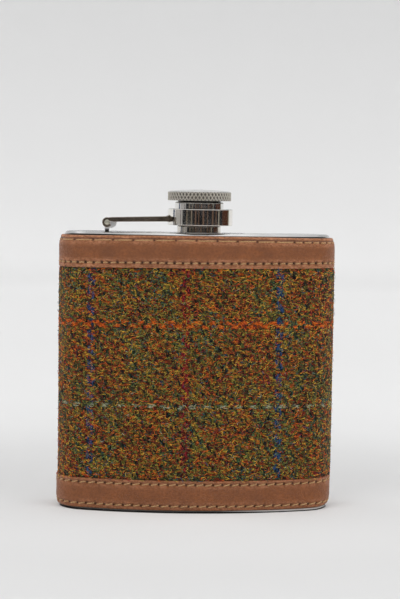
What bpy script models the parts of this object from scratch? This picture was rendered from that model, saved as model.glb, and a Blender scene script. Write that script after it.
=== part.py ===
"""Hip flask: a bent steel bottle in a leather and tweed wrap, with a captive screw cap.

Units are metres, +Z is up and the flask stands on z = 0.  The bulging front faces -Y and the
hinge of the cap arm is at -X.  The origin is the middle of the footprint.

The plan view is a bent stadium.  Its middle line is an arc about a point behind the flask, and
every wall is an outline at some offset from the outer leather surface (0 is the leather, minus
is further in).
"""

import math

import bmesh
import bpy
from mathutils import Matrix

MM = 0.001

# Whole flask
WIDTH = 95 * MM               # over the leather
THICKNESS = 22 * MM           # over the leather, square to the middle line
SAGITTA = 6 * MM              # how far the middle line bows forward
SHOULDER_Z = 94.6 * MM        # top of the steel shoulder
GAP = 0.3 * MM                # between two pieces that touch on the real flask

# Steel body
SHEET = 0.6 * MM
SHELL_OFFSET = -1.3 * MM
SHELL_BOTTOM_Z = 0.8 * MM
SHOULDER_OFFSET = -2.0 * MM
SHOULDER_SHEET = 0.8 * MM
LIP_OFFSET = -0.6 * MM        # the base's rim under the leather
LIP_HEIGHT = 0.5 * MM
BASE_TOP_Z = 1.8 * MM

# Wrap
LEATHER = 1.0 * MM
TWEED_OFFSET = -0.3 * MM
TWEED = 0.7 * MM
BOTTOM_BAND_Z = (0.8 * MM, 11.2 * MM)
TOP_BAND_Z = (82.5 * MM, 94.0 * MM)
TURN_IN = 0.85 * MM           # how far the wrap leans in at its top edge
TURN_IN_HEIGHT = 4.0 * MM
TOP_ROWS_Z = (84.2 * MM, 92.3 * MM)
BOTTOM_ROWS_Z = (2.35 * MM, 9.65 * MM)
THREAD = 0.3 * MM             # sewing thread
GROOVE_WIDTH = THREAD + 2 * GAP
GROOVE_DEPTH = 0.55 * MM

# Neck, heights above the shoulder
NECK_Y = -SAGITTA / 2
NECK_R = 7.4 * MM
NECK_HOLE_R = NECK_R + GAP
BORE_R = 5.6 * MM
FLANGE_R = 8.0 * MM
NECK_TOP = 5.85 * MM
NECK_STEP = 2.5 * MM
NECK_ROOT_R = 6.4 * MM
NECK_RIDGE = 0.5 * MM
LEAD = 1.25 * MM              # rise of the screw in one turn
THREAD_STEP = LEAD / 5        # height between two rings of thread points

# Cap, heights above the shoulder
CAP_R = 10.8 * MM
CAP_TOP = 14.7 * MM
KNURL_Z = (11.2 * MM, 13.8 * MM)
STEM_R = 8.3 * MM
STEM_TOP = 10.7 * MM
SKIRT_BOTTOM = 2.75 * MM
SKIRT_ROOT_R = 7.45 * MM
SKIRT_RIDGE = -0.3 * MM
CEILING = 7.45 * MM
RING_GROOVE_R = 7.95 * MM
RING_GROOVE_Z = (3.15 * MM, 4.55 * MM)
RING_R = (8.2 * MM, 9.7 * MM)
RING_Z = (3.4 * MM, 4.2 * MM)
GASKET_R = 6.8 * MM
GASKET_Z = (6.15 * MM, 7.15 * MM)
COLLAR_R = 11.0 * MM
COLLAR_WALL = 0.55 * MM
COLLAR_HOLE_R = 9.0 * MM
COLLAR_Z = (2.6 * MM, 8.1 * MM)
COLLAR_SHIFT = 0.4 * MM       # the loose collar hangs a little off the cap's axis

# Hinge
PIN_X = -31.3 * MM
PIN_UP = 3.15 * MM            # above the shoulder
PIN_R = 0.65 * MM
PIN_LENGTH = 6.6 * MM
PIN_BORE_R = 0.75 * MM
ARM_WIDTH = 6.2 * MM
CURL_SHEET = 0.9 * MM
SLOT_WIDTH = 2.4 * MM
SLOT_END = 3.9 * MM
LUG_WIDTH = SLOT_WIDTH - 2 * GAP
LUG_R = 1.75 * MM
LUG_CENTRE = (1.5 * MM, -0.1 * MM)   # from the pin
EYE_R = 1.25 * MM             # round the pin
POST_HALF = 0.7 * MM

# Fineness
ROUND = 40                    # sides of a turned piece
END_STEPS = 10                # steps round each narrow end
FACE_STEPS = 12               # steps along each broad face

STEEL = ((0.72, 0.71, 0.69, 1.0), 0.16, 1.0)
RUBBER = ((0.62, 0.60, 0.56, 1.0), 0.6, 0.0)
LEATHER_LOOK = ((0.21, 0.075, 0.03, 1.0), 0.5, 0.0)
TWEED_LOOK = ((0.115, 0.085, 0.025, 1.0), 0.95, 0.0)
THREAD_LOOK = ((0.48, 0.30, 0.14, 1.0), 0.75, 0.0)

HALF_THICKNESS = THICKNESS / 2
END_X = WIDTH / 2 - HALF_THICKNESS
MIDDLE_R = (END_X ** 2 + SAGITTA ** 2) / (2 * SAGITTA)
BEND = math.asin(END_X / MIDDLE_R)
BEND_CENTRE_Y = NECK_Y + MIDDLE_R
PIN_Z = SHOULDER_Z + PIN_UP


# ---------------------------------------------------------------- scene and objects

def clear_scene():
    for obj in list(bpy.data.objects):
        bpy.data.objects.remove(obj, do_unlink=True)


def make_material(name, look):
    colour, roughness, metallic = look
    material = bpy.data.materials.new(name)
    material.use_nodes = True
    shader = material.node_tree.nodes["Principled BSDF"]
    shader.inputs["Base Color"].default_value = colour
    shader.inputs["Roughness"].default_value = roughness
    shader.inputs["Metallic"].default_value = metallic
    material.diffuse_color = colour
    return material


def make_object(name, bm, look, parent=None, smooth_angle=35):
    """Close the mesh's normals outwards and put it in the scene under its parent."""
    bmesh.ops.recalc_face_normals(bm, faces=bm.faces[:])
    mesh = bpy.data.meshes.new(name)
    bm.to_mesh(mesh)
    bm.free()
    mesh.shade_smooth()
    mesh.set_sharp_from_angle(angle=math.radians(smooth_angle))
    mesh.materials.append(make_material(name, look))
    obj = bpy.data.objects.new(name, mesh)
    bpy.context.scene.collection.objects.link(obj)
    if parent is not None:
        obj.parent = parent
        mesh.transform(Matrix.Translation(-parent.location))
    return obj


def make_empty(name, location):
    empty = bpy.data.objects.new(name, None)
    empty.empty_display_size = 5 * MM
    bpy.context.scene.collection.objects.link(empty)
    empty.location = location
    return empty


def cut(obj, cutter):
    """Take the cutter away from the object."""
    cutter.parent = obj.parent
    cutter.hide_render = True
    cutter.display_type = "WIRE"
    modifier = obj.modifiers.new("cut_" + cutter.name, "BOOLEAN")
    modifier.operation = "DIFFERENCE"
    modifier.solver = "EXACT"
    modifier.object = cutter


# ---------------------------------------------------------------- outlines of the flask

def face_stations(side, start, end, steps=FACE_STEPS):
    """Points on the middle line with the normal to the front (side 1) or back (side -1)."""
    stations = []
    for i in range(steps + 1):
        turn = start + (end - start) * i / steps
        x = MIDDLE_R * math.sin(turn)
        y = BEND_CENTRE_Y - MIDDLE_R * math.cos(turn)
        stations.append((x, y, side * math.sin(turn), -side * math.cos(turn)))
    return stations


def end_stations(side, start, end, steps=END_STEPS):
    """The left (side -1) or right (side 1) end's centre, with normals turning round it."""
    x = side * END_X
    y = BEND_CENTRE_Y - MIDDLE_R * math.cos(BEND)
    stations = []
    for i in range(steps + 1):
        angle = start + (end - start) * i / steps
        stations.append((x, y, math.cos(angle), math.sin(angle)))
    return stations


def joined(*runs):
    """Runs end to end, with each shared station once."""
    stations = list(runs[0])
    for run in runs[1:]:
        stations += run[1:]
    return stations


def whole_outline(seam_gap=0.0):
    """Anticlockwise from the middle of the back, with half the seam gap at each end."""
    slip = seam_gap / 2 / (MIDDLE_R - HALF_THICKNESS)
    quarter = math.pi / 2
    return joined(
        face_stations(-1, -slip, -BEND, FACE_STEPS // 2),
        end_stations(-1, quarter - BEND, 3 * quarter - BEND),
        face_stations(1, -BEND, BEND),
        end_stations(1, -quarter + BEND, quarter + BEND),
        face_stations(-1, BEND, slip, FACE_STEPS // 2),
    )


def half_outline(side, gap):
    """The front (side 1) or back (side -1) half, short of the ends' outermost lines."""
    slip = gap / 2 / HALF_THICKNESS
    quarter = math.pi / 2
    half_steps = END_STEPS // 2
    if side > 0:
        return joined(
            end_stations(-1, 2 * quarter + slip, 3 * quarter - BEND, half_steps),
            face_stations(1, -BEND, BEND),
            end_stations(1, -quarter + BEND, -slip, half_steps),
        )
    return joined(
        end_stations(1, slip, quarter + BEND, half_steps),
        face_stations(-1, BEND, -BEND),
        end_stations(-1, quarter - BEND, 2 * quarter - slip, half_steps),
    )


def station_vertex(bm, station, offset, z):
    x, y, nx, ny = station
    reach = HALF_THICKNESS + offset
    return bm.verts.new((x + nx * reach, y + ny * reach, z))


def sweep(stations, profile, closed=False):
    """Carry a closed (offset, z) profile along the stations."""
    bm = bmesh.new()
    loops = [[station_vertex(bm, s, offset, z) for offset, z in profile] for s in stations]
    count = len(profile)
    pairs = list(zip(loops, loops[1:]))
    if closed:
        pairs.append((loops[-1], loops[0]))
    for here, there in pairs:
        for i in range(count):
            j = (i + 1) % count
            bm.faces.new((here[i], here[j], there[j], there[i]))
    if not closed:
        bm.faces.new(loops[0])
        bm.faces.new(loops[-1])
    return bm


def stack(levels):
    """A solid plate from (offset, z) levels, lowest first."""
    bm = bmesh.new()
    stations = whole_outline()[:-1]
    loops = [[station_vertex(bm, s, offset, z) for s in stations] for offset, z in levels]
    for lower, upper in zip(loops, loops[1:]):
        for i in range(len(stations)):
            j = (i + 1) % len(stations)
            bm.faces.new((lower[i], lower[j], upper[j], upper[i]))
    bm.faces.new(loops[0])
    bm.faces.new(loops[-1])
    return bm


# ---------------------------------------------------------------- turned and flat shapes

def turned(profile, centre, closed=True):
    """Turn (radius, z, ridge) points about a vertical axis; a ridge winds as a right-hand screw.

    An open profile starts and ends on the axis.
    """
    bm = bmesh.new()
    rings = []
    for radius, z, ridge in profile:
        if radius == 0:
            rings.append([bm.verts.new((centre[0], centre[1], z))] * ROUND)
            continue
        ring = []
        for i in range(ROUND):
            angle = 2 * math.pi * i / ROUND
            wave = 0.5 + 0.5 * math.cos(2 * math.pi * z / LEAD - angle)
            reach = radius + ridge * wave
            x = centre[0] + reach * math.cos(angle)
            y = centre[1] + reach * math.sin(angle)
            ring.append(bm.verts.new((x, y, z)))
        rings.append(ring)
    pairs = list(zip(rings, rings[1:]))
    if closed:
        pairs.append((rings[-1], rings[0]))
    for here, there in pairs:
        for i in range(ROUND):
            j = (i + 1) % ROUND
            corners = [here[i], here[j], there[j], there[i]]
            bm.faces.new(list(dict.fromkeys(corners)))
    return bm


def plain(points):
    """Turned points with no ridge, raised from shoulder height to z."""
    return [(radius, SHOULDER_Z + z, 0.0) for radius, z in points]


def screw_thread(radius, ridge, low, high):
    """Turned points of a screw thread from low to high, with its first and last ring plain."""
    count = round((high - low) / THREAD_STEP)
    points = []
    for i in range(count + 1):
        z = SHOULDER_Z + low + (high - low) * i / count
        points.append((radius, z, ridge if 0 < i < count else 0.0))
    return points


def slab(points, y_low, y_high):
    """An (x, z) outline given its width along Y."""
    bm = bmesh.new()
    near = [bm.verts.new((x, y_low, z)) for x, z in points]
    far = [bm.verts.new((x, y_high, z)) for x, z in points]
    bm.faces.new(near)
    bm.faces.new(far)
    for i in range(len(points)):
        j = (i + 1) % len(points)
        bm.faces.new((near[i], near[j], far[j], far[i]))
    return bm


def arc(centre, radius, start, end, steps):
    """Points of an arc in degrees, anticlockwise when end is past start."""
    points = []
    for i in range(steps + 1):
        angle = math.radians(start + (end - start) * i / steps)
        points.append((centre[0] + radius * math.cos(angle), centre[1] + radius * math.sin(angle)))
    return points


def cylinder_along_y(radius, length, steps=24):
    centre = (PIN_X, PIN_Z)
    points = arc(centre, radius, 0, 360, steps)[:-1]
    return slab(points, NECK_Y - length / 2, NECK_Y + length / 2)


# ---------------------------------------------------------------- steel bottle

def lean(z):
    """How far the wrap and the shell under it lean in at height z."""
    rise = z - (TOP_BAND_Z[1] - TURN_IN_HEIGHT)
    if rise <= 0:
        return 0.0
    return TURN_IN * (rise / TURN_IN_HEIGHT) ** 2


def shell_profile():
    top = SHOULDER_Z - SHOULDER_SHEET - GAP
    start = TOP_BAND_Z[1] - TURN_IN_HEIGHT
    heights = [SHELL_BOTTOM_Z, start, (start + top) / 2, top]
    outer = [(SHELL_OFFSET - lean(z), z) for z in heights]
    inner = [(SHELL_OFFSET - SHEET - lean(z), z) for z in reversed(heights)]
    return outer + inner


def build_shells():
    profile = shell_profile()
    make_object("front_shell", sweep(half_outline(1, GAP), profile), STEEL)
    make_object("back_shell", sweep(half_outline(-1, GAP), profile), STEEL)


def build_base_plate():
    corner = 0.2 * MM
    boss = SHELL_OFFSET - SHEET - GAP
    levels = [
        (LIP_OFFSET - corner, 0.0),
        (LIP_OFFSET, corner),
        (LIP_OFFSET, LIP_HEIGHT),
        (boss, LIP_HEIGHT),
        (boss, BASE_TOP_Z),
    ]
    make_object("base_plate", stack(levels), STEEL)


def build_shoulder_plate():
    corner = 0.55 * MM
    low = SHOULDER_Z - SHOULDER_SHEET
    levels = [
        (SHOULDER_OFFSET, low),
        (SHOULDER_OFFSET, SHOULDER_Z - corner),
        (SHOULDER_OFFSET - 0.3 * corner, SHOULDER_Z - 0.3 * corner),
        (SHOULDER_OFFSET - corner, SHOULDER_Z),
    ]
    plate = make_object("shoulder_plate", stack(levels), STEEL)
    below = -2 * SHOULDER_SHEET
    above = SHOULDER_SHEET
    hole = plain([(0, below), (NECK_HOLE_R, below), (NECK_HOLE_R, above), (0, above)])
    cutter = make_object("neck_hole", turned(hole, (0, NECK_Y), closed=False), STEEL)
    cut(plate, cutter)


def build_neck():
    under = -SHOULDER_SHEET - GAP
    chamfer = 0.3 * MM
    outside = plain([
        (BORE_R, under - SHEET),
        (FLANGE_R, under - SHEET),
        (FLANGE_R, under),
        (NECK_R, under),
        (NECK_R, NECK_STEP - chamfer),
        (NECK_R - chamfer, NECK_STEP),
    ])
    outside += screw_thread(NECK_ROOT_R, NECK_RIDGE, NECK_STEP, NECK_TOP - chamfer)
    outside += plain([(NECK_ROOT_R - chamfer, NECK_TOP), (BORE_R, NECK_TOP)])
    make_object("neck", turned(outside, (0, NECK_Y)), STEEL)


# ---------------------------------------------------------------- hinge, arm and collar

def build_hinge_bracket():
    """An eye round the pin with a rounded stop, on a short post between the arm's two knuckles."""
    foot = SHOULDER_Z + GAP
    centre = (PIN_X + LUG_CENTRE[0], PIN_Z + LUG_CENTRE[1])
    outline = [(PIN_X - POST_HALF, foot), (PIN_X + POST_HALF, foot)]
    outline += arc(centre, LUG_R, -110, 95, 12)
    outline += arc((PIN_X, PIN_Z), EYE_R, 110, 210, 6)
    lug = slab(outline, NECK_Y - LUG_WIDTH / 2, NECK_Y + LUG_WIDTH / 2)
    bracket = make_object("hinge_bracket", lug, STEEL)
    cutter = make_object("lug_bore", cylinder_along_y(PIN_BORE_R, ARM_WIDTH), STEEL)
    cut(bracket, cutter)


def build_hinge_pin():
    make_object("hinge_pin", cylinder_along_y(PIN_R, PIN_LENGTH), STEEL)


def arm_outline():
    """Side view of the arm: a strip curled round the pin that rises a little to the collar."""
    end = -PIN_X + COLLAR_SHIFT - COLLAR_R + 1.5 * MM
    centre = (0.0, 0.0)
    curl = PIN_BORE_R + CURL_SHEET
    upper = [
        (end, 3.0 * MM),
        (end - 1.5 * MM, 2.65 * MM),
        (end - 2.9 * MM, 2.3 * MM),
        (3.6 * MM, 1.8 * MM),
        (2.2 * MM, 1.75 * MM),
    ]
    outside = arc(centre, curl, 75, 310, 16)
    inside = arc(centre, PIN_BORE_R, 310, 50, 16)
    lower = [
        (1.9 * MM, 0.35 * MM),
        (3.6 * MM, 0.25 * MM),
        (end - 2.9 * MM, 0.75 * MM),
        (end, 0.8 * MM),
    ]
    return [(PIN_X + x, PIN_Z + z) for x, z in upper + outside + inside + lower]


def build_hinge_arm(swing):
    half = ARM_WIDTH / 2
    strip = slab(arm_outline(), NECK_Y - half, NECK_Y + half)
    arm = make_object("hinge_arm", strip, STEEL, swing)
    reach = 3 * MM
    slot = [
        (PIN_X - reach, PIN_Z - reach),
        (PIN_X + SLOT_END, PIN_Z - reach),
        (PIN_X + SLOT_END, PIN_Z + reach),
        (PIN_X - reach, PIN_Z + reach),
    ]
    half_slot = SLOT_WIDTH / 2
    notch = slab(slot, NECK_Y - half_slot, NECK_Y + half_slot)
    cut(arm, make_object("knuckle_slot", notch, STEEL, swing))
    radius = COLLAR_R + GAP
    top = CAP_TOP
    saddle = plain([(0, 0), (radius, 0), (radius, top), (0, top)])
    centre = (COLLAR_SHIFT, NECK_Y)
    cutter = make_object("collar_saddle", turned(saddle, centre, closed=False), STEEL, swing)
    cut(arm, cutter)


def build_cap_collar(swing):
    low, high = COLLAR_Z
    edge = 0.25 * MM
    inside = COLLAR_R - COLLAR_WALL
    profile = plain([
        (inside, low),
        (COLLAR_R - edge, low),
        (COLLAR_R, low + edge),
        (COLLAR_R, high - edge),
        (COLLAR_R - edge, high),
        (COLLAR_HOLE_R, high),
        (COLLAR_HOLE_R, high - COLLAR_WALL),
        (inside, high - COLLAR_WALL),
    ])
    make_object("cap_collar", turned(profile, (COLLAR_SHIFT, NECK_Y)), STEEL, swing)


# ---------------------------------------------------------------- screw cap

def build_knurled_cap(axis):
    edge = 0.35 * MM
    outside = plain([
        (0, CAP_TOP),
        (4.2 * MM, CAP_TOP - 0.08 * MM),
        (7.6 * MM, CAP_TOP - 0.32 * MM),
        (CAP_R - edge, KNURL_Z[1] + 0.05 * MM),
        (CAP_R, KNURL_Z[1] - edge),
        (CAP_R, KNURL_Z[0] + edge),
        (CAP_R - edge, KNURL_Z[0]),
        (STEM_R - 0.5 * MM, KNURL_Z[0]),
        (STEM_R - 0.5 * MM, STEM_TOP),
        (STEM_R - 0.15 * MM, STEM_TOP),
        (STEM_R, STEM_TOP - 0.25 * MM),
        (STEM_R, RING_GROOVE_Z[1]),
        (RING_GROOVE_R, RING_GROOVE_Z[1]),
        (RING_GROOVE_R, RING_GROOVE_Z[0]),
        (STEM_R, RING_GROOVE_Z[0]),
        (STEM_R, SKIRT_BOTTOM),
    ])
    inside = screw_thread(SKIRT_ROOT_R, SKIRT_RIDGE, SKIRT_BOTTOM, GASKET_Z[0] - GAP / 2)
    seat = SKIRT_ROOT_R + SKIRT_RIDGE
    inside += plain([(seat, GASKET_Z[0]), (seat, CEILING), (0, CEILING)])
    make_object("knurled_cap", turned(outside + inside, (0, NECK_Y), closed=False), STEEL, axis)


def build_cap_retaining_ring(axis):
    low, high = RING_Z
    hole, rim = RING_R
    section = plain([(hole, low), (rim, low), (rim, high), (hole, high)])
    make_object("cap_retaining_ring", turned(section, (0, NECK_Y)), STEEL, axis)


def build_cap_gasket(axis):
    low, high = GASKET_Z
    disc = plain([(0, low), (GASKET_R, low), (GASKET_R, high), (0, high)])
    make_object("cap_gasket", turned(disc, (0, NECK_Y), closed=False), RUBBER, axis)


# ---------------------------------------------------------------- leather, tweed and thread

def band_profile(low, high, rows):
    """A strip of leather with a groove for each row of stitches."""
    outer = [(-lean(low), low)]
    for row in rows:
        edges = (row - GROOVE_WIDTH / 2, row + GROOVE_WIDTH / 2)
        outer.append((-lean(edges[0]), edges[0]))
        outer.append((-lean(row) - GROOVE_DEPTH, edges[0]))
        outer.append((-lean(row) - GROOVE_DEPTH, edges[1]))
        outer.append((-lean(edges[1]), edges[1]))
    outer.append((-lean(high), high))
    inner = [(-LEATHER - lean(high), high)]
    inner.append((-LEATHER - lean(high - TURN_IN_HEIGHT / 2), high - TURN_IN_HEIGHT / 2))
    inner.append((-LEATHER - lean(high - TURN_IN_HEIGHT), high - TURN_IN_HEIGHT))
    inner.append((-LEATHER - lean(low), low))
    return outer + inner


def build_band(name, span, rows):
    outline = whole_outline(GAP)
    make_object(name, sweep(outline, band_profile(span[0], span[1], rows)), LEATHER_LOOK)


def build_thread(name, row):
    """A row of stitches as one thread that lies in its groove all round."""
    offset = -lean(row)
    half = THREAD / 2
    profile = [
        (offset - THREAD, row - half),
        (offset, row - half),
        (offset, row + half),
        (offset - THREAD, row + half),
    ]
    make_object(name, sweep(whole_outline(GAP), profile), THREAD_LOOK)


def build_tweed_panel():
    low = BOTTOM_BAND_Z[1] + GAP
    high = TOP_BAND_Z[0] - GAP
    inner = TWEED_OFFSET - TWEED
    profile = [(inner, low), (TWEED_OFFSET, low), (TWEED_OFFSET, high), (inner, high)]
    make_object("tweed_panel", sweep(whole_outline(GAP), profile), TWEED_LOOK)


def build_wrap():
    build_band("bottom_leather_band", BOTTOM_BAND_Z, BOTTOM_ROWS_Z)
    build_band("top_leather_band", TOP_BAND_Z, TOP_ROWS_Z)
    build_tweed_panel()
    build_thread("bottom_band_lower_stitching", BOTTOM_ROWS_Z[0])
    build_thread("bottom_band_upper_stitching", BOTTOM_ROWS_Z[1])
    build_thread("top_band_lower_stitching", TOP_ROWS_Z[0])
    build_thread("top_band_upper_stitching", TOP_ROWS_Z[1])


def main():
    clear_scene()
    build_shells()
    build_base_plate()
    build_shoulder_plate()
    build_neck()
    build_hinge_bracket()
    build_hinge_pin()
    build_wrap()
    swing = make_empty("arm_swing_axis", (PIN_X, NECK_Y, PIN_Z))
    build_hinge_arm(swing)
    build_cap_collar(swing)
    screw = make_empty("cap_screw_axis", (0, NECK_Y, SHOULDER_Z))
    build_knurled_cap(screw)
    build_cap_retaining_ring(screw)
    build_cap_gasket(screw)


main()
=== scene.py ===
"""Looks of the hip flask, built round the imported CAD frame.

Metres, +Z up.  The flask stands on z = 0 with its bulging face towards -Y and the hinge at -X.
The wrap is made in flattened coordinates: u runs round the flask from the middle of the front
(positive towards +X), z is the height, and an offset is the distance outside the leather.
"""

import math

import bmesh
import bpy
import numpy as np
from mathutils import Matrix, Vector


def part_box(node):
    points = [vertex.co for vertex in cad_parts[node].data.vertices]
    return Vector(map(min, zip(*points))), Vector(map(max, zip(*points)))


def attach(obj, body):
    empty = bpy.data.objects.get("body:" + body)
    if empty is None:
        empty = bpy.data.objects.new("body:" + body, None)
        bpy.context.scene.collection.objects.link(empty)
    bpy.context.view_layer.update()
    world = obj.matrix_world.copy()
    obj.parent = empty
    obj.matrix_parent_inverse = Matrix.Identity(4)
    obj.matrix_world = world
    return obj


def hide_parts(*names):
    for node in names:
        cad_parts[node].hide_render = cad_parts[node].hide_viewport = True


MM = 0.001
TAU = 2 * math.pi

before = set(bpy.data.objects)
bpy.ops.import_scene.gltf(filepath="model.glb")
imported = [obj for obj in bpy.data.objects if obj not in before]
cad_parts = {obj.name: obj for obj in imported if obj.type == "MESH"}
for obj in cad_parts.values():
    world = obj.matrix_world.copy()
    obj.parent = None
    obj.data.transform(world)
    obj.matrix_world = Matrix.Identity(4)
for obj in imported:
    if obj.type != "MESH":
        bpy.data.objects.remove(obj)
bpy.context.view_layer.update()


# ---------------------------------------------------------------- sizes read from the frame

BAND_LOW, BAND_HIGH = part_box("top_leather_band")
FOOT_LOW, FOOT_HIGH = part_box("bottom_leather_band")
PLATE_LOW, PLATE_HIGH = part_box("shoulder_plate")
NECK_LOW, NECK_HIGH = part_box("neck")
CAP_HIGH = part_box("knurled_cap")[1]
COLLAR_LOW, COLLAR_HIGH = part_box("cap_collar")
PIN_LOW, PIN_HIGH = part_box("hinge_pin")
ARM_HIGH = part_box("hinge_arm")[1]
LUG_LOW, LUG_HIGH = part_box("hinge_bracket")

WIDTH = FOOT_HIGH.x - FOOT_LOW.x
NECK_Y = (NECK_LOW.y + NECK_HIGH.y) / 2
HALF_THICKNESS = NECK_Y - FOOT_LOW.y
SAGITTA = FOOT_HIGH.y - HALF_THICKNESS - NECK_Y
END_X = WIDTH / 2 - HALF_THICKNESS
MIDDLE_R = (END_X ** 2 + SAGITTA ** 2) / (2 * SAGITTA)
BEND = math.asin(END_X / MIDDLE_R)
BEND_CENTRE_Y = NECK_Y + MIDDLE_R
END_Y = BEND_CENTRE_Y - MIDDLE_R * math.cos(BEND)
# The way round the outer leather: half its front, an end and half its back
FRONT_HALF = (MIDDLE_R + HALF_THICKNESS) * BEND
END_RUN = math.pi * HALF_THICKNESS
BACK_HALF = (MIDDLE_R - HALF_THICKNESS) * BEND
HALF_ROUND = FRONT_HALF + END_RUN + BACK_HALF
END_U = FRONT_HALF + END_RUN / 2                     # the outermost point of the right-hand end
SHOULDER_Z = PLATE_HIGH.z
COLLAR_X, COLLAR_R = (COLLAR_LOW.x + COLLAR_HIGH.x) / 2, (COLLAR_HIGH.x - COLLAR_LOW.x) / 2
PIN_X, PIN_Z = (PIN_LOW.x + PIN_HIGH.x) / 2, (PIN_LOW.z + PIN_HIGH.z) / 2
SEAM = 0.12 * MM                                     # half the butt seam at the back

# Leather, cloth and thread
LEATHER = 1.0 * MM
EDGE_ROUND = 0.32 * MM
TURN_IN = 0.85 * MM
TURN_IN_HEIGHT = 4.0 * MM
FOOT_TURN = 0.8 * MM
FOOT_TURN_HEIGHT = 3.6 * MM
YARN = 1.292 * MM                                    # from one yarn to the next
CLOTH_CROWN = -0.22 * MM                             # level of the cloth outside the leather
TOP_BAND = (BAND_LOW.z + 0.35 * MM, BAND_HIGH.z - 0.3 * MM)
FOOT_BAND = (FOOT_LOW.z, FOOT_HIGH.z - 0.15 * MM)
CLOTH = (FOOT_BAND[1] + 0.1 * MM, TOP_BAND[0] - 0.1 * MM)
TOP_ROWS = (84.6 * MM, 92.15 * MM)                   # heights of the rows of stitches
FOOT_ROWS = (2.35 * MM, 9.65 * MM)
THREAD_R = 0.21 * MM
HOLE_R = dict(zip(TOP_ROWS + FOOT_ROWS, (0.44 * MM, 0.27 * MM, 0.32 * MM, 0.32 * MM)))
FURROW = 0.22 * MM                                   # depth of the groove that a row lies in


# ---------------------------------------------------------------- numbers and noise

def srgb(red, green, blue):
    """A colour given as it looks on a screen, 0 to 255, as the linear colour a shader takes."""
    linear = []
    for value in (red, green, blue):
        share = value / 255
        linear.append(share / 12.92 if share <= 0.04045 else ((share + 0.055) / 1.055) ** 2.4)
    return linear


def lattice(a, b, seed):
    """A repeatable number from 0 to 1 for each pair of whole numbers."""
    a = np.asarray(a).astype(np.int64)
    b = np.asarray(b).astype(np.int64)
    mix = (a * 374761393 + b * 668265263 + seed * 974634777) & 0xFFFFFFFF
    mix = ((mix ^ (mix >> 13)) * 1274126177) & 0xFFFFFFFF
    mix = ((mix ^ (mix >> 15)) * 2246822519) & 0xFFFFFFFF
    return (mix ^ (mix >> 16)) / 2.0 ** 32


def noise(x, y, seed):
    """Smooth noise from 0 to 1 with one bump per unit."""
    ix, iy = np.floor(x), np.floor(y)
    fx, fy = x - ix, y - iy
    fx, fy = fx * fx * (3 - 2 * fx), fy * fy * (3 - 2 * fy)
    low = lattice(ix, iy, seed) * (1 - fx) + lattice(ix + 1, iy, seed) * fx
    high = lattice(ix, iy + 1, seed) * (1 - fx) + lattice(ix + 1, iy + 1, seed) * fx
    return low * (1 - fy) + high * fy


def grain(u, z, wide, high, seed):
    """Smooth noise from 0 to 1 with bumps so many millimetres wide and high."""
    return noise(u / (wide * MM), z / (high * MM), seed)


def bell(x, width):
    return np.exp(-(x / width) ** 2)


# ---------------------------------------------------------------- the outline of the flask

def wrap(u, offset):
    """(x, y) of the point at u round the flask, offset outside the leather."""
    u, offset = np.broadcast_arrays(np.asarray(u, float), np.asarray(offset, float))
    run, side = np.abs(u), np.where(u < 0, -1.0, 1.0)
    turn = run / (MIDDLE_R + HALF_THICKNESS)
    angle = (run - FRONT_HALF) / HALF_THICKNESS - math.pi / 2 + BEND
    back = BEND - (run - FRONT_HALF - END_RUN) / (MIDDLE_R - HALF_THICKNESS)
    reach = HALF_THICKNESS + offset
    x = np.where(run <= FRONT_HALF, (MIDDLE_R + reach) * np.sin(turn), END_X + reach * np.cos(angle))
    y = np.where(run <= FRONT_HALF, BEND_CENTRE_Y - (MIDDLE_R + reach) * np.cos(turn),
                 END_Y + reach * np.sin(angle))
    behind = run > FRONT_HALF + END_RUN
    x = np.where(behind, (MIDDLE_R - reach) * np.sin(back), x)
    y = np.where(behind, BEND_CENTRE_Y - (MIDDLE_R - reach) * np.cos(back), y)
    return side * x, y


def settled(u, z, offset):
    """Points of the wrap at u, z and offset, sitting where the hand-cut wrap does."""
    x, y = wrap(u, offset)
    return np.stack([x, y, z + settle(u, z)], -1).reshape(-1, 3)


def at_ends(u):
    """1 round the two ends of the flask, falling to 0 on its front and back."""
    return bell(np.maximum(np.abs(np.abs(u) - END_U) - 9 * MM, 0), 6 * MM)


def round_stations(step, seam=0.0):
    """Values of u all the way round, from the back seam to the back seam."""
    reach = HALF_ROUND - seam
    return np.linspace(-reach, reach, round(2 * reach / step) + 1)


# ---------------------------------------------------------------- meshes

def mesh_object(name, points, faces):
    """A smooth-shaded object from an (n, 3) array of points and an array or a list of faces."""
    mesh = bpy.data.meshes.new(name)
    counts = np.array([len(face) for face in faces])
    corners = np.concatenate(faces)
    mesh.vertices.add(len(points))
    mesh.vertices.foreach_set("co", np.asarray(points, np.float32).ravel())
    mesh.loops.add(len(corners))
    mesh.loops.foreach_set("vertex_index", corners.astype(np.int32))
    mesh.polygons.add(len(counts))
    starts = np.concatenate([[0], np.cumsum(counts)[:-1]])
    mesh.polygons.foreach_set("loop_start", starts.astype(np.int32))
    mesh.update(calc_edges=True)
    mesh.validate()
    mesh.shade_smooth()
    obj = bpy.data.objects.new(name, mesh)
    bpy.context.scene.collection.objects.link(obj)
    return obj


def grid_faces(rows, columns, close_rows=False, close_columns=False):
    """Quads over a grid of rows x columns points numbered row by row."""
    i = np.arange(rows if close_rows else rows - 1)[:, None]
    j = np.arange(columns if close_columns else columns - 1)[None, :]
    i2, j2 = (i + 1) % rows, (j + 1) % columns
    corners = (i * columns + j, i * columns + j2, i2 * columns + j2, i2 * columns + j)
    return np.stack(np.broadcast_arrays(*corners), -1).reshape(-1, 4)


def tube_faces(rings, sides, first=0):
    """The faces of a tube of rings with closed ends, whose points are numbered from first."""
    ring = np.arange(sides) + first
    return list(grid_faces(rings, sides, False, True) + first) + [ring[::-1], ring + (rings - 1) * sides]


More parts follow.
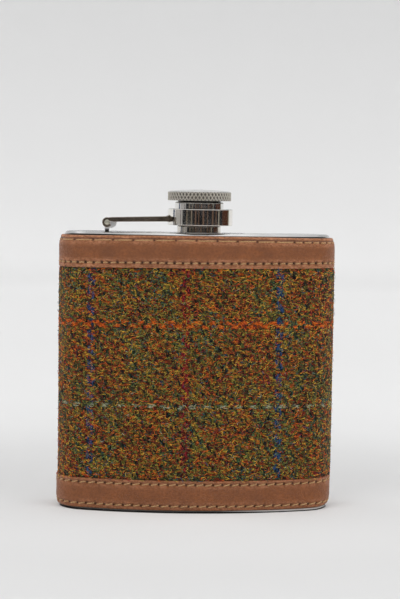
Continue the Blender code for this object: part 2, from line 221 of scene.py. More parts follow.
def set_attribute(obj, name, values):
    """A number or a colour for each point, for the material to read."""
    values = np.asarray(values, np.float32)
    if values.ndim == 1:
        attribute = obj.data.attributes.new(name, "FLOAT", "POINT")
        attribute.data.foreach_set("value", values)
        return
    colours = np.ones((len(values), 4), np.float32)
    colours[:, :3] = values
    attribute = obj.data.attributes.new(name, "FLOAT_COLOR", "POINT")
    attribute.data.foreach_set("color", colours.ravel())


def sharpen(obj, angle=40):
    obj.data.set_sharp_from_angle(angle=math.radians(angle))
    return obj


def turned(profile, centre, steps, ridge=None):
    """Points of a (radius, z) profile turned about a vertical axis, ring by ring."""
    angle = np.arange(steps) * TAU / steps
    radius, z = (np.repeat(column[:, None], steps, 1) for column in np.array(profile).T)
    if ridge is not None:
        radius = ridge(radius, z, angle[None, :])
    x, y = centre[0] + radius * np.cos(angle), centre[1] + radius * np.sin(angle)
    return np.stack([x, y, z], -1).reshape(-1, 3)


def lathe(name, profile, centre, steps=128, ridge=None, closed=True):
    """A turned piece; ridge(radius, z, angle) may change its radius.

    The profile is a closed loop, or else runs from end face to end face.
    """
    faces = grid_faces(len(profile), steps, True, True) if closed else tube_faces(len(profile), steps)
    return mesh_object(name, turned(profile, centre, steps, ridge), faces)


def rounded(points, radius, steps=4):
    """An open outline with its inner corners rounded, and the flats beside them held flat."""
    points = [Vector(p) for p in points]
    smooth, hold = [points[0]], 0.05 * MM
    for before, here, after in zip(points, points[1:], points[2:]):
        to_before, to_after = before - here, after - here
        reach = min(radius, to_before.length * 0.45, to_after.length * 0.45)
        start, end = here + to_before.normalized() * reach, here + to_after.normalized() * reach
        if reach + 2 * hold < to_before.length / 2:
            smooth.append(start + to_before.normalized() * hold)
        for i in range(steps + 1):
            t = i / steps
            smooth.append(start * (1 - t) ** 2 + here * 2 * t * (1 - t) + end * t * t)
        if reach + 2 * hold < to_after.length / 2:
            smooth.append(end + to_after.normalized() * hold)
    smooth.append(points[-1])
    return [tuple(p) for p in smooth]


def arc(centre, radius, start, end, steps):
    """Points of an arc in degrees."""
    angles = [math.radians(start + (end - start) * i / steps) for i in range(steps + 1)]
    return [(centre[0] + radius * math.cos(a), centre[1] + radius * math.sin(a)) for a in angles]


def outward(obj):
    """Turn the faces of a closed piece outward."""
    bm = bmesh.new()
    bm.from_mesh(obj.data)
    bmesh.ops.recalc_face_normals(bm, faces=bm.faces[:])
    bm.to_mesh(obj.data)
    bm.free()
    return obj


def bevelled(obj, width, segments=3):
    modifier = obj.modifiers.new("softened_edges", "BEVEL")
    modifier.width = width
    modifier.segments = segments
    modifier.limit_method = "ANGLE"
    modifier.angle_limit = math.radians(35)
    modifier.harden_normals = True
    return obj


def dress(obj, material, body, slot, *nodes):
    """Give a piece its material and body, and hide the CAD nodes it stands for; slot is not used."""
    obj.data.materials.clear()
    obj.data.materials.append(material)
    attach(obj, body)
    if nodes:
        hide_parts(*nodes)
    return obj


# ---------------------------------------------------------------- materials

def rgba(colour):
    return colour if isinstance(colour, bpy.types.NodeSocket) else (*colour, 1.0)


class Look:
    """A Principled material, with short ways to add to its shader.

    The values that go into a node are constants or other nodes' outputs.
    """

    def __init__(self, name, **sockets):
        self.material = bpy.data.materials.new(name)
        self.material.use_nodes = True
        self.tree = self.material.node_tree
        self.shader = self.tree.nodes["Principled BSDF"]
        self.coords = self.add("TexCoord").outputs["Object"]
        for key, value in sockets.items():
            self.feed(key.replace("_", " "), value)

    def connect(self, socket, value):
        if isinstance(value, bpy.types.NodeSocket):
            self.tree.links.new(value, socket)
        else:
            socket.default_value = value

    def feed(self, name, value):
        """Give one socket of the Principled shader its value."""
        self.connect(self.shader.inputs[name], value)

    def add(self, kind, sockets=None, **settings):
        made = self.tree.nodes.new("ShaderNode" + kind)
        for key, value in settings.items():
            setattr(made, key, value)
        for key, value in (sockets or {}).items():
            self.connect(made.inputs[key], value)
        return made

    def place(self):
        """The x, y and z of the point that is shaded."""
        return self.add("SeparateXYZ", {"Vector": self.coords}).outputs

    def attribute(self, name, output="Fac"):
        return self.add("Attribute", attribute_name=name).outputs[output]

    def noise(self, size, detail=3.0, stretch=None):
        """Noise with features of about that size in metres, stretched along the axes if asked."""
        coords = self.coords
        if stretch is not None:
            coords = self.add("Mapping", {"Vector": coords, "Scale": stretch}).outputs[0]
        return self.add("TexNoise", {"Vector": coords, "Scale": 1 / size, "Detail": detail}).outputs[0]

    def ramp(self, factor, stops):
        """A colour ramp through (place, colour) stops."""
        made = self.add("ValToRGB", {"Fac": factor})
        while len(made.color_ramp.elements) < len(stops):
            made.color_ramp.elements.new(0.5)
        for element, (place, colour) in zip(made.color_ramp.elements, stops):
            element.position = place
            element.color = rgba(colour)
        return made.outputs[0]

    def mix(self, factor, first, second, blend="MIX"):
        colours = {0: factor, 6: rgba(first), 7: rgba(second)}
        return self.add("Mix", colours, data_type="RGBA", blend_type=blend).outputs[2]

    def span(self, value, low, high, to_low=0.0, to_high=1.0):
        """A value mapped from one range to another, and held at its ends."""
        sockets = {"Value": value, "From Min": low, "From Max": high, "To Min": to_low, "To Max": to_high}
        return self.add("MapRange", sockets).outputs[0]

    def calc(self, operation, *values, clamp=False):
        sockets = dict(enumerate(values))
        return self.add("Math", sockets, operation=operation, use_clamp=clamp).outputs[0]

    def bump(self, height, distance, strength):
        sockets = {"Height": height, "Distance": distance, "Strength": strength}
        self.feed("Normal", self.add("Bump", sockets).outputs[0])


STEEL = (0.80, 0.79, 0.77)


def steel(name, roughness, tint=STEEL, shaded_below=None, along=None):
    """Polished stainless steel with handling smears and fine scratches.

    It may be painted dark up to a height, as painted shade, and darkened along X by (x, share of the tint
    left) stops, as painted reflection.
    """
    look = Look(name, Metallic=1.0)
    smudge = look.noise(4 * MM, 4.0)
    colour = look.ramp(smudge, [(0.3, [c * 0.93 for c in tint]), (0.65, tint)])
    if shaded_below is not None:
        # painted shade: dark steel below the given height
        lit_share = look.span(look.place()[2], shaded_below - 0.2 * MM, shaded_below + 0.3 * MM)
        colour = look.mix(lit_share, (0.07, 0.065, 0.06), colour)
    if along is not None:
        # painted reflection: the steel made lighter and darker along X
        across = look.span(look.place()[0], -WIDTH / 2, WIDTH / 2)
        reflection_dim = look.ramp(across, [(x / WIDTH + 0.5, (k, k, k)) for x, k in along])
        colour = look.mix(1.0, colour, reflection_dim, "MULTIPLY")
    look.feed("Base Color", colour)
    look.feed("Roughness", look.span(smudge, 0.3, 0.75, roughness, roughness * 2.0))
    look.bump(look.noise(0.35 * MM), 0.004 * MM, 0.35)
    return look.material


def base_steel():
    """The base's rim: polished at its lip, and painted black as contact shadow where it curves under."""
    look = Look("base_steel", Roughness=0.3, Specular_IOR_Level=0.2)
    x, y, z = look.place()
    # painted shade: the lip shows as polished steel mostly at the right and is painted dark towards the
    # left
    lit_share = look.span(x, 8 * MM, 27 * MM)
    lip = look.span(look.calc("MULTIPLY_ADD", lit_share, 0.24 * MM, z), 0.50 * MM, 0.58 * MM)
    lip = look.calc("MULTIPLY", lip, look.span(lit_share, 0.0, 1.0, 0.1, 1.0))
    # painted shadow: near-black under the lip, with a little noise
    shadow_noise = look.noise(1.5 * MM)
    dark = look.ramp(shadow_noise, [(0.3, (0.004, 0.004, 0.004)), (0.7, (0.012, 0.011, 0.010))])
    look.feed("Base Color", look.mix(lip, dark, STEEL))
    look.feed("Metallic", lip)
    return look.material


def cap_steel():
    """Turned steel: bright flats, a duller, warmer knurled rim, painted shade in the hollows of the knurl,
    and a near-black band of painted shade in the groove under the rim.
    """
    look = Look("cap_steel", Metallic=1.0)
    z = look.place()[2]
    from_rim = look.calc("ABSOLUTE", look.calc("SUBTRACT", z, SHOULDER_Z + 12.36 * MM))
    rim = look.span(from_rim, 1.48 * MM, 1.38 * MM)
    # painted shade: a near-black band in the groove under the rim
    from_groove = look.calc("ABSOLUTE", look.calc("SUBTRACT", z, SHOULDER_Z + 10.7 * MM))
    groove = look.span(from_groove, 0.26 * MM, 0.20 * MM)
    smudge = look.noise(3 * MM, 4.0)
    bright = look.ramp(smudge, [(0.3, (0.74, 0.73, 0.71)), (0.65, (0.82, 0.81, 0.79))])
    colour = look.mix(rim, bright, (0.80, 0.75, 0.66))
    # painted shade in the hollows between the knurl's ridges
    colour = look.mix(look.attribute("knurl_hollow_shade"), colour, (0.07, 0.062, 0.055))
    look.feed("Base Color", look.mix(groove, colour, (0.03, 0.028, 0.026)))
    polish = look.span(smudge, 0.3, 0.75, 0.08, 0.17)
    look.feed("Roughness", look.calc("MULTIPLY_ADD", rim, 0.2, polish))
    look.bump(look.noise(0.3 * MM, 3.0, (1, 1, 6)), 0.004 * MM, 0.3)
    return look.material


def leather_material():
    """Waxed tan leather: pores and creases, lighter ridges and edges that are partly rubbed wear and partly
    painted highlight, and painted shade in its creases and needle holes.
    """
    look = Look("tan_leather", Specular_IOR_Level=0.6)
    mottle = look.noise(0.8 * MM, 6.0)
    wrinkle = look.noise(0.7 * MM, 4.0, (0.8, 0.8, 1.6))
    colour = look.ramp(look.noise(6 * MM), [(0.3, srgb(114, 62, 22)), (0.7, srgb(134, 75, 29))])
    colour = look.mix(look.span(mottle, 0.38, 0.68, 0.0, 0.6), colour, srgb(100, 54, 20))
    streak = look.span(wrinkle, 0.36, 0.62, 0.1, 1.5)
    # partly rubbed wear and partly painted highlight
    rub_and_highlight_streaks = look.calc("MULTIPLY", look.attribute("rub_and_highlight"), streak, clamp=True)
    colour = look.mix(rub_and_highlight_streaks, colour, srgb(184, 126, 90))
    # painted shade: dark in the needle holes and creases
    look.feed("Base Color", look.mix(look.attribute("hole_and_crease_shade"), colour, srgb(34, 17, 10)))
    look.feed("Roughness", look.span(mottle, 0.3, 0.7, 0.34, 0.52))
    cells = {"Vector": look.coords, "Scale": 1 / (0.5 * MM)}
    pores = look.add("TexVoronoi", cells, feature="DISTANCE_TO_EDGE").outputs[0]
    pored = look.calc("ADD", look.span(pores, 0.0, 0.25), mottle)
    look.bump(look.calc("MULTIPLY_ADD", wrinkle, 2.0, pored), 0.09 * MM, 0.9)
    return look.material


def tweed_material():
    """Woollen twill: the yarn colours come with the mesh, and fine hair breaks them up."""
    look = Look("tweed_wool", Roughness=0.92, Sheen_Weight=0.12, Sheen_Roughness=0.5,
                Specular_IOR_Level=0.15)
    hair = look.noise(0.22 * MM, 3.0, (1.0, 1.0, 2.2))
    shade = look.ramp(hair, [(0.35, (0.09, 0.09, 0.09)), (0.7, (0.85, 0.85, 0.85))])
    look.feed("Base Color", look.mix(1.0, look.attribute("yarn_colour", "Color"), shade, "MULTIPLY"))
    look.bump(hair, 0.12 * MM, 0.8)
    return look.material


def wool_material(name, colour):
    """One dyed fibre colour of the tweed."""
    look = Look(name, Base_Color=rgba(colour), Roughness=0.85, Sheen_Weight=0.12, Specular_IOR_Level=0.15)
    return look.material


def thread_material():
    """Waxed beige sewing thread with plies, and painted shade darkening the grooves between them."""
    look = Look("waxed_thread", Roughness=0.6, Sheen_Weight=0.1)
    fuzz = look.noise(0.3 * MM)
    colour = look.ramp(fuzz, [(0.3, srgb(176, 139, 90)), (0.7, srgb(228, 193, 138))])
    # painted shade in the grooves between the plies
    look.feed("Base Color", look.mix(look.attribute("ply_groove_shade"), srgb(118, 84, 52), colour))
    look.bump(fuzz, 0.03 * MM, 0.6)
    return look.material


def rubber_material():
    look = Look("silicone", Roughness=0.6)
    dust = look.noise(0.8 * MM)
    look.feed("Base Color", look.ramp(dust, [(0.3, (0.52, 0.50, 0.46)), (0.7, (0.64, 0.62, 0.58))]))
    return look.material


# ---------------------------------------------------------------- tweed

# Yarn and fibre colours by name, and the parts of each that go into a yarn
WOOL = {
    "orange": srgb(222, 106, 26), "rust": srgb(160, 62, 26), "brick": srgb(132, 34, 34),
    "gold": srgb(226, 178, 62), "olive": srgb(162, 152, 62), "moss": srgb(84, 114, 70),
    "pine": srgb(20, 36, 34), "black": srgb(8, 9, 13), "teal": srgb(38, 92, 104),
    "blue": srgb(46, 76, 124), "crimson": srgb(158, 30, 42), "pale": srgb(172, 176, 148),
    "flame": srgb(226, 104, 28), "brown": srgb(72, 44, 26),
}
WEFT_MIX = {"orange": 10, "rust": 18, "brick": 9, "gold": 16, "olive": 18, "brown": 13, "moss": 8,
            "pine": 8}
WARP_MIX = {"black": 20, "pine": 20, "moss": 18, "olive": 16, "gold": 7, "brown": 10, "rust": 6,
            "teal": 3}
BLUE_MIX = {"blue": 55, "teal": 15, "black": 30}
RED_MIX = {"crimson": 45, "brick": 25, "black": 30}
FLAME_MIX = {"flame": 75, "orange": 25}
PALE_MIX = {"pale": 50, "moss": 26, "olive": 24}
CHECK_U = -5.2 * MM            # a red warp stripe; blue and red alternate from it
CHECK_WARPS = 25               # warps between stripes
FLAME_Z = 64.0 * MM            # between the two orange picks
PALE_Z = 37.4 * MM
PALE_PICK = math.floor((PALE_Z - FLAME_Z) / YARN)
YARN_NUMBERS = range(-math.ceil(HALF_ROUND / YARN), math.ceil(HALF_ROUND / YARN))


def mixture(mix, chance):
    """The colours picked from a mix by chances from 0 to 1."""
    names = list(mix)
    edges = np.cumsum([mix[n] for n in names]) / sum(mix.values())
    table = np.array([WOOL[n] for n in names])
    return table[np.minimum(np.searchsorted(edges, chance), len(names) - 1)]


def over(warp, weft):
    """1 or -1 as a warp passes over or under a weft: a 2/2 twill that steps twice at two of its yarns."""
    return np.where((warp + weft + (weft > 0) + (warp > 0)) % 4 < 2, 1.0, -1.0)


def weave(u, z):
    """The twill at each point: height, warp or weft on top, yarn number, and place across each yarn."""
    u = u + 0.5 * MM * (grain(u, z, 3, 5, 1) - 0.5)
    z = z + 0.5 * MM * (grain(u, z, 5, 3, 2) - 0.5)
    across_u, across_z = (u - CHECK_U) / YARN, (z - FLAME_Z) / YARN + 0.5
    warp, weft = np.floor(across_u + 0.5), np.floor(across_z + 0.5)
    from_warp, from_weft = across_u - warp, across_z - weft

    def swing(here, there, share):
        share = np.clip((share - 0.18) / 0.64, 0, 1)
        return here + (there - here) * share * share * (3 - 2 * share)

    low_weft, low_warp = np.floor(across_z), np.floor(across_u)
    warp_path = swing(over(warp, low_weft), over(warp, low_weft + 1), across_z - low_weft)
    weft_path = -swing(over(low_warp, weft), over(low_warp + 1, weft), across_u - low_warp)
    tangle = 0.5 * (grain(u, z, 0.8, 0.5, 9) - 0.5)
    warp_height = 0.12 * warp_path - 0.8 * from_warp ** 2 + tangle
    weft_height = 0.12 * weft_path - 0.8 * from_weft ** 2 - tangle
    height = np.maximum(warp_height, weft_height)
    return height, warp_height > weft_height, warp, weft, from_warp, from_weft


def yarn_colours(u, z, height, on_top, warp, weft, from_warp, from_weft):
    """Heathered yarns with the blue and red warps and the orange and pale picks of the check."""
    along = np.where(on_top, z, u)
    across = np.where(on_top, from_warp, from_weft) * YARN
    yarn = np.where(on_top, warp * 2, weft * 2 + 1)
    slant = across + 0.3 * along + 0.3 * MM * grain(u, z, 1, 1, 3)
    start = lattice(yarn, 0 * yarn, 4) * 9
    chance = lattice(np.floor(along / (1.3 * MM) + start) + 57 * yarn, np.floor(slant / (0.26 * MM)), 5)
    colour = np.where(on_top[..., None], mixture(WARP_MIX, chance), mixture(WEFT_MIX, chance))
    stripe, in_stripe = np.floor(warp / CHECK_WARPS), on_top & (warp % CHECK_WARPS < 2)
    for picked, mix in ((in_stripe & (stripe % 2 == 0), RED_MIX), (in_stripe & (stripe % 2 == 1), BLUE_MIX),
                        (~on_top & ((weft == 0) | (weft == 1)), FLAME_MIX),
                        (~on_top & (weft == PALE_PICK), PALE_MIX)):
        colour = np.where(picked[..., None], mixture(mix, chance), colour)
    gap_shade = np.clip((height + 0.42) / 0.5, 0.10, 1.0)
    streak = 0.45 + 0.75 * noise(along / (0.5 * MM), slant / (0.16 * MM) + yarn * 3, 6)
    return colour * (gap_shade * streak)[..., None]


def crown(u, z):
    """The cloth's level, which is pulled tight low down at the left end and fuller at the right."""
    tight = 0.35 * bell(u + END_U, 20 * MM) * np.clip((70 * MM - z) / (50 * MM), 0, 1)
    return CLOTH_CROWN + MM * (0.18 * bell(u - END_U, 20 * MM) - tight)


def tuck(z):
    """How far the cloth dives at its upper and lower edges, and goes on under the leather."""
    from_edge = np.minimum(z - CLOTH[0], CLOTH[1] - z)
    dip = 0.38 * MM * bell(np.maximum(from_edge, 0), 0.5 * MM)
    return dip + 0.75 * MM * np.clip(-from_edge / (0.25 * MM), 0, 1)


def build_tweed():
    """The cloth, which goes on a little way under each leather band."""
    under, cell = 0.6 * MM, 0.2 * MM
    low, high = CLOTH[0] - under, CLOTH[1] + under
    us, zs = round_stations(cell, SEAM), np.linspace(low, high, round((high - low) / cell) + 1)
    u, z = np.meshgrid(us, zs)
    fields = weave(u, z)
    height = fields[0] * 0.5 * MM
    height += 0.12 * MM * (grain(u, z, 0.45, 0.3, 7) - 0.5)
    height += 0.14 * MM * (grain(u, z, 3, 3, 8) - 0.5)
    seam_dip = 0.5 * MM * bell(HALF_ROUND - np.abs(u), 0.6 * MM)
    offset = np.maximum(crown(u, z) + height, -0.8 * MM) - tuck(z) - seam_dip
    points = settled(u, z, np.maximum(offset, -1.2 * MM))
    cloth = mesh_object("tweed_cloth", points, grid_faces(len(zs), len(us)))
    set_attribute(cloth, "yarn_colour", yarn_colours(u, z, *fields).reshape(-1, 3))
    return dress(cloth, tweed_material(), "flask", "tweed", "tweed_panel")


def fibre_mesh(name, hairs, rng):
    """Curved hairs lying on the cloth, as thin three-sided tubes with pointed ends.

    hairs has a row for each hair: u, z, heading, curl, length, lift and thickness.
    """
    u0, z0, angle, curl, length, lift, thickness = hairs.T[..., None]
    count, joints, sides = len(hairs), 5, 3
    t = np.linspace(0, 1, joints)[None, :]
    wander = rng.normal(0, 0.2, (count, joints)).cumsum(1)
    heading = angle + curl * (t - 0.5) + wander
    step = length / (joints - 1)
    u = u0 + np.cumsum(np.cos(heading) * step, 1) - 0.5 * length * np.cos(angle)
    z = z0 + np.cumsum(np.sin(heading) * step, 1) - 0.5 * length * np.sin(angle)
    off_cloth = (z < CLOTH[0] + 0.1 * MM) | (z > CLOTH[1] - 0.1 * MM)
    rise = crown(u, z) - 0.16 * MM + lift * np.sin(math.pi * t ** 0.8)
    rise = np.where(off_cloth, np.maximum(rise, 0.05 * MM), rise)
    z = np.clip(z, CLOTH[0] - 0.7 * MM, CLOTH[1] + 0.7 * MM)
    u = np.clip(u, -HALF_ROUND + 0.3 * MM, HALF_ROUND - 0.3 * MM)
    width = (thickness * (0.3 + 0.7 * np.sin(math.pi * np.clip(t, 0.02, 0.98)) ** 0.6))[..., None]
    side = np.arange(sides) * TAU / sides
    ring_u = u[..., None] - np.sin(heading)[..., None] * width * np.cos(side)
    ring_z = (z + settle(u, z))[..., None] + np.cos(heading)[..., None] * width * np.cos(side)
    x, y = wrap(ring_u, rise[..., None] + width * np.sin(side))
    points = np.stack([x, y, ring_z], -1).reshape(-1, 3)
    one = grid_faces(joints, sides, False, True)
    faces = (one[None] + (np.arange(count) * joints * sides)[:, None, None]).reshape(-1, 4)
    hair = mesh_object("tweed_fibres_" + name, points, faces)
    return dress(hair, wool_material("wool_" + name, WOOL[name]), "flask", "tweed")


def loose_hairs(count, tone_and_shade, warmth, rng):
    """Hairs all over the cloth, most of them lying across and a few long strays standing off it.

    With tone_and_shade at 1 a hair gathers on the crowns of the yarns, as painted light, and at -1 between
    them, as painted shade, though its colour is a real dye.  Warm and cool colours (warmth above and below
    0) gather in patches.
    """
    tries = 4 * count
    u = rng.uniform(-HALF_ROUND + MM, HALF_ROUND - MM, tries)
    z = rng.uniform(CLOTH[0] + 0.1 * MM, CLOTH[1] - 0.45 * MM, tries)
    yarns = grain(u, z, 0.62, 0.36, 41) - 0.5
    patch = grain(u, z, 7, 9, 42) + 0.6 * grain(u, z, 2.2, 2.2, 43) - 0.8
    # painted light and shade: bright hairs kept on the crowns, dark ones between them
    order = np.argsort(-tone_and_shade * yarns - 0.5 * warmth * patch + rng.normal(0, 0.09, tries), kind="stable")
    kept = rng.permutation(order[:2 * count])[:count]
    u, z = u[kept], z[kept]
    angle = np.where(rng.random(count) < 0.72, rng.normal(0.06, 0.40, count), rng.uniform(-1.6, 1.6, count))
    curl = rng.normal(0, 1.3, count)
    length = rng.uniform(0.7, 2.0, count) * MM
    lift = rng.uniform(0.16, 0.34, count) * MM + (0.05 if tone_and_shade > 0 else -0.015) * MM * tone_and_shade
    thickness = rng.uniform(0.055, 0.108, count) * MM * (1.0 if tone_and_shade > 0 else 1.05)
    stray = rng.random(count) < 0.02
    length = np.where(stray, length * 2.2, length)
    lift = np.where(stray, rng.uniform(0.4, 0.8, count) * MM, lift)
    thickness = np.where(stray, 0.05 * MM, thickness)
    return np.stack([u, z, angle, curl, length, lift, thickness], -1)


def yarn_hairs(floats, per_float, upright, reach, rng):
    """Hairs along the floats of a coloured yarn, from the (u, z) middles of the floats."""
    floats = np.repeat(np.array(floats), per_float, 0)
    count = len(floats)
    along = rng.normal(0, reach * 0.22, count)
    across = rng.normal(0, 0.17 * MM, count)
    u = floats[:, 0] + np.where(upright, across, along)
    z = floats[:, 1] + np.where(upright, along, across)
    angle = rng.normal(math.pi / 2 if upright else 0.0, 0.28, count)
    curl = rng.normal(0, 0.6, count)
    length = rng.uniform(0.4, 0.8, count) * reach
    lift = rng.uniform(0.26, 0.40, count) * MM
    thickness = rng.uniform(0.07, 0.12, count) * MM
    return np.stack([u, z, angle, curl, length, lift, thickness], -1)


def weft_floats(*picks):
    """(u, z) of the middles of the floats of some weft picks."""
    middles = []
    for weft in picks:
        for warp in YARN_NUMBERS:
            start = over(warp, weft) < 0 and over(warp + 1, weft) < 0 and over(warp - 1, weft) > 0
            u = CHECK_U + (warp + 0.5) * YARN
            if start and abs(u) < HALF_ROUND - 2 * YARN:
                middles.append((u, FLAME_Z + (weft - 0.5) * YARN))
    return middles


def warp_floats(odd):
    """(u, z) of the middles of the floats of the warp pairs of every second stripe, even or odd."""
    middles = []
    for warp in YARN_NUMBERS:
        if warp // CHECK_WARPS % 2 != odd or warp % CHECK_WARPS > 1:
            continue
        for weft in YARN_NUMBERS:
            start = over(warp, weft) > 0 and over(warp, weft + 1) > 0 and over(warp, weft - 1) < 0
            z = FLAME_Z + weft * YARN
            if start and CLOTH[0] + YARN < z < CLOTH[1] - YARN:
                middles.append((CHECK_U + warp * YARN, z))
    return middles


def build_fibres():
    """Surface hair, one piece for each dyed colour, with the check's yarns picked out."""
    shares = {"orange": 6000, "rust": 6900, "brick": 4400, "gold": 4000, "olive": 4600, "moss": 6000,
              "pine": 8300, "black": 8300, "brown": 3300, "teal": 3100, "blue": 640, "crimson": 1200,
              "pale": 280, "flame": 200}
    # where each colour's hairs gather: towards the crowns (above 0), between them as painted shade (below
    # 0), or anywhere (0)
    tones_and_shade = {"brick": 0, "moss": 0, "brown": -0.5, "teal": 0, "pine": -1, "black": -1}
    warmth = {"orange": 0.8, "rust": 0.8, "brick": 1, "crimson": 1, "olive": -0.6, "moss": -1, "teal": -1,
              "pine": -0.6}
    yarns = {"flame": (weft_floats(0, 1), 7, False), "pale": (weft_floats(PALE_PICK), 5, False),
             "crimson": (warp_floats(0), 5, True), "blue": (warp_floats(1), 6, True)}
    made = []
    for seed, (name, count) in enumerate(shares.items()):
        rng = np.random.default_rng(100 + seed)
        hairs = loose_hairs(count, tones_and_shade.get(name, 1), warmth.get(name, 0), rng)
        if name in yarns:
            hairs = np.concatenate([hairs, yarn_hairs(*yarns[name], 2 * YARN, rng)])
        made.append(fibre_mesh(name, hairs, rng))
    return made


# ---------------------------------------------------------------- leather and stitches

def lean(u, z):
    """How far the wrap leans in at its top edge and at its foot, most at the right-hand end."""
    top = np.clip((z - (TOP_BAND[1] - TURN_IN_HEIGHT)) / TURN_IN_HEIGHT, 0, 1)
    foot = np.clip(1 - (z - FOOT_BAND[0]) / FOOT_TURN_HEIGHT, 0, 1)
    loose = 1 + 0.9 * bell(u - END_U, 14 * MM)
    return TURN_IN * top ** 2 + FOOT_TURN * loose * (1 - np.sqrt(1 - 0.96 * foot ** 2))


def settle(u, z):
    """How far up the hand-cut wrap sits from level.

    Its top edge is low at the left, its top band is narrower at the right, and its foot is high there.
    """
    left = bell(u + FRONT_HALF + 8 * MM, 26 * MM) * np.interp(z, [60 * MM, 80 * MM], [0, -0.4 * MM])
    right = bell(u - FRONT_HALF - 8 * MM, 24 * MM) * np.interp(
        z, [64 * MM, 82 * MM, 85 * MM, 91.5 * MM], [0, 0.4 * MM, 0.35 * MM, -0.3 * MM])
    foot = bell(u - END_U, 11 * MM) * np.interp(z, [0, 10 * MM, 30 * MM], [0.45 * MM, 1.0 * MM, 0])
    return left + right + foot


def needle_holes(pitch, seed, first=0.4, short_from=None, short=None):
    """Values of u of a row's needle holes, with the unevenness of a sewn row."""
    rng = np.random.default_rng(seed)
    holes = [-HALF_ROUND + first * pitch]
    while holes[-1] < HALF_ROUND - 0.9 * pitch:
        step = short if short_from is not None and short_from < holes[-1] < FRONT_HALF + END_RUN else pitch
        holes.append(holes[-1] + step * rng.uniform(0.94, 1.06))
    return np.array(holes[:-1] if holes[-1] > HALF_ROUND - 0.3 * MM else holes)


def nearest(values, marks):
    """Signed distance from each value to the nearest mark, and the share of the way between marks."""
    at = np.clip(np.searchsorted(marks, values), 1, len(marks) - 1)
    before, after = marks[at - 1], marks[at]
    share = np.clip((values - before) / (after - before), 0, 1)
    return np.where(share < 0.5, values - before, values - after), share


def band_section(low, high):
    """(offset, z, whether outside) round a leather strip: outer face, rounded edges and inner face."""
    r = EDGE_ROUND
    outer_z = np.linspace(low + r, high - r, round((high - low - 2 * r) / (0.19 * MM)) + 1)
    bends = np.linspace(math.pi / 2, 0.3, 4)
    section = [(-r + r * math.cos(a), low + r - r * math.sin(a), 1) for a in bends]
    section += [(0.0, z, 1) for z in outer_z]
    section += [(-r + r * math.cos(a), high - r + r * math.sin(a), 1) for a in bends[::-1]]
    section += [(-LEATHER, z, 0) for z in np.linspace(high, low, 7)]
    return np.array(section)


def build_band(name, node, low, high, rows, holes, rub_and_highlight_share=1.0):
    """A strip of leather with furrows, needle holes, puckers and wrinkles along its stitches."""
    section = band_section(low, high)
    us = round_stations(0.22 * MM, SEAM)
    u, offset = np.meshgrid(us, section[:, 0], indexing="ij")
    z = np.broadcast_to(section[:, 1], u.shape)
    outer = np.broadcast_to(section[:, 2], u.shape)
    dent, hole_and_crease_shade = np.zeros(u.shape), np.zeros(u.shape)
    for row, marks in zip(rows, holes):
        away, share = nearest(u, marks)
        gap = z - row + 0.05 * MM * (grain(u, 0 * u, 2, 1, 11) - 0.5)
        dent += FURROW * bell(gap, 0.45 * MM) * (0.75 + 0.25 * np.cos(TAU * share))
        dent += 0.09 * MM * np.cos(TAU * share) * bell(gap, 1.1 * MM)
        hole = bell(np.hypot(away, gap), HOLE_R[row])
        dent += 0.42 * MM * hole
        crease = bell(gap - 0.55 * MM, 0.17 * MM) * (0.55 + 0.45 * grain(u, 0 * u, 3, 1, 16))
        crease = crease * (1.0 if row == TOP_ROWS[1] else 0.25)
        dent += 0.15 * MM * crease
        # painted shade in the needle holes and the crease beside a row
        hole_and_crease_shade = np.maximum(hole_and_crease_shade, np.maximum(hole ** 0.7, crease))
    middle = np.clip(np.minimum(z - low, high - z) / (2 * MM), 0, 1)
    dent += 0.09 * MM * (grain(u, z, 5, 2.2, 12) - 0.5) * middle
    dent += 0.07 * MM * (grain(u + 1.5 * z, z, 0.9, 0.45, 13) - 0.5)
    dent += 0.02 * MM * (grain(u, z, 0.35, 0.35, 14) - 0.5)
    seam_round = 0.3 * MM * np.clip(1 - (HALF_ROUND - SEAM - np.abs(u)) / (0.4 * MM), 0, 1) ** 2
    points = settled(u, z, offset - lean(u, z) - outer * (dent + seam_round))
    band = mesh_object(name, points, tube_faces(len(us), len(section)))
    # lighter at the edges and on the ridges beside the rows: partly rubbed wear, partly painted highlight
    edge = np.maximum(bell(z - low, 0.5 * MM), bell(high - z, 0.5 * MM))
    ridges = sum(bell(np.maximum(np.abs(z - row) - 0.7 * MM, 0), 0.8 * MM) for row in rows)
    scuff = grain(u + z, z, 2.5, 0.7, 15)
    rub_and_highlight = np.clip(0.5 * edge + 0.5 * ridges * (0.2 + scuff), 0, 0.9) * outer * rub_and_highlight_share
    set_attribute(band, "rub_and_highlight", rub_and_highlight.ravel())
    set_attribute(band, "hole_and_crease_shade", (hole_and_crease_shade * outer).ravel())
    dress(sharpen(band, 70), LEATHER_LOOK, "flask", "leather", node)


